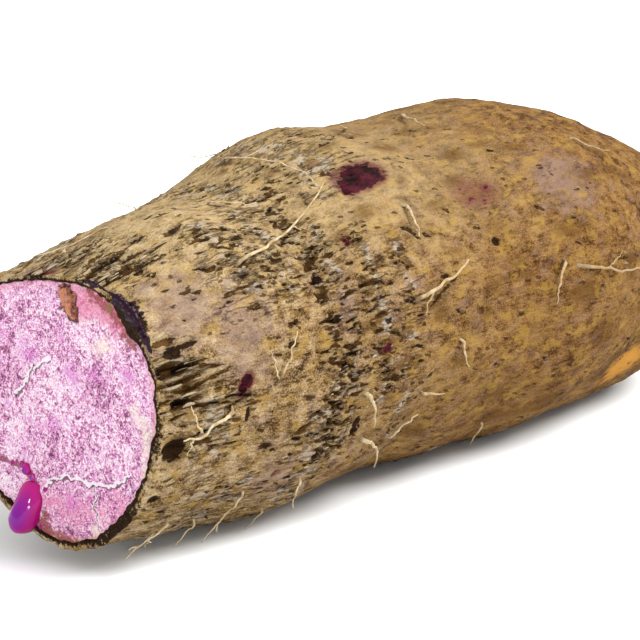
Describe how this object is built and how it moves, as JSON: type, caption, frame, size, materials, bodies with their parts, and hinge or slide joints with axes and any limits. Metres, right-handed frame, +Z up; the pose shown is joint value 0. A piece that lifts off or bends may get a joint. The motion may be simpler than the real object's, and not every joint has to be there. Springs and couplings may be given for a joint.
{
  "type": "purple yam",
  "caption": "Thick elongated yam tuber lying on its side, cut across at one end to show pale purple flesh, with fine hair roots and a bead of juice on the cut face.",
  "frame": {"origin": "a point of the flat on the underside, on the surface that the tuber lies on, below the middle of its length", "axes": "+X runs along the tuber from the cut face to the grown tip, +Y is to the left when looking along +X from the cut, +Z is up"},
  "size_m": [0.301, 0.1042, 0.0996],
  "materials": {
    "yam_skin": "matte",
    "cut_flesh": "satin",
    "hair_root": "matte",
    "juice": "gloss"
  },
  "bodies": {
    "root": {"hair_root_01": "hair_root", "hair_root_02": "hair_root", "hair_root_03": "hair_root", "hair_root_04": "hair_root", "hair_root_05": "hair_root", "hair_root_06": "hair_root", "hair_root_07": "hair_root", "hair_root_08": "hair_root", "hair_root_09": "hair_root", "hair_root_10": "hair_root", "hair_root_11": "hair_root", "hair_root_12": "hair_root", "hair_root_13": "hair_root", "hair_root_14": "hair_root", "hair_root_15": "hair_root", "hair_root_16": "hair_root", "hair_root_17": "hair_root", "hair_root_18": "hair_root", "hair_root_19": "hair_root", "hair_root_20": "hair_root", "hair_root_21": "hair_root", "hair_root_22": "hair_root", "hair_root_23": "hair_root", "hair_root_24": "hair_root", "hair_root_25": "hair_root", "hair_root_26": "hair_root", "hair_root_27": "hair_root", "hair_root_28": "hair_root", "hair_root_29": "hair_root", "hair_root_30": "hair_root", "hair_root_31": "hair_root", "hair_root_32": "hair_root", "hair_root_33": "hair_root", "hair_root_34": "hair_root", "hair_root_35": "hair_root", "hair_root_36": "hair_root", "hair_root_37": "hair_root", "hair_root_38": "hair_root", "hair_root_39": "hair_root", "hair_root_40": "hair_root", "hair_root_41": "hair_root", "hair_root_42": "hair_root", "juice_bead": "juice", "tuber": "yam_skin"}
  },
  "joints": []
}
